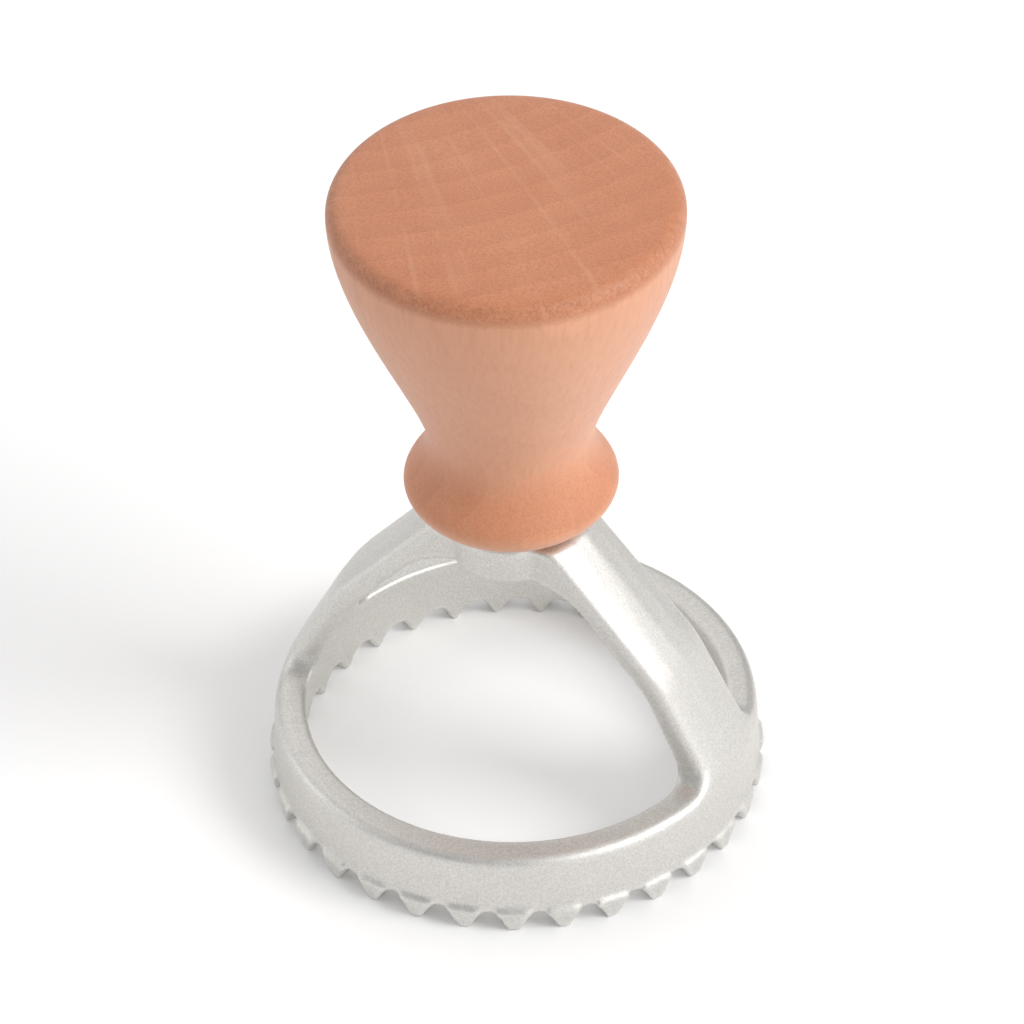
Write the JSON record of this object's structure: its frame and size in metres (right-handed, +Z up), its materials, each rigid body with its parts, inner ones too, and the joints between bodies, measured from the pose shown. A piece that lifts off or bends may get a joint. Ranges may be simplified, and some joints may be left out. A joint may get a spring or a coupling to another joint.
{
  "type": "ravioli stamp",
  "caption": "Round ravioli stamp: a flared wooden knob on a cast aluminium bridge whose ring has a toothed cutting edge.",
  "frame": {"origin": "on the surface the teeth stand on, under the middle of the ring", "axes": "+Z up along the axis of ring, boss and knob; +X towards one arm of the bridge; one tooth lies at -Y"},
  "size_m": [0.0614, 0.0614, 0.0885],
  "materials": {
    "cast_aluminium": "tumbled casting, matt with a fine sparkle and soft edges",
    "turned_beech": "fine sanded and bare, pinkish brown, end grain on top",
    "zinc_plated_steel": "bright zinc plating"
  },
  "bodies": {
    "root": {"cutter_head": "cast_aluminium", "handle": "turned_beech", "handle_screw": "zinc_plated_steel"}
  },
  "joints": []
}
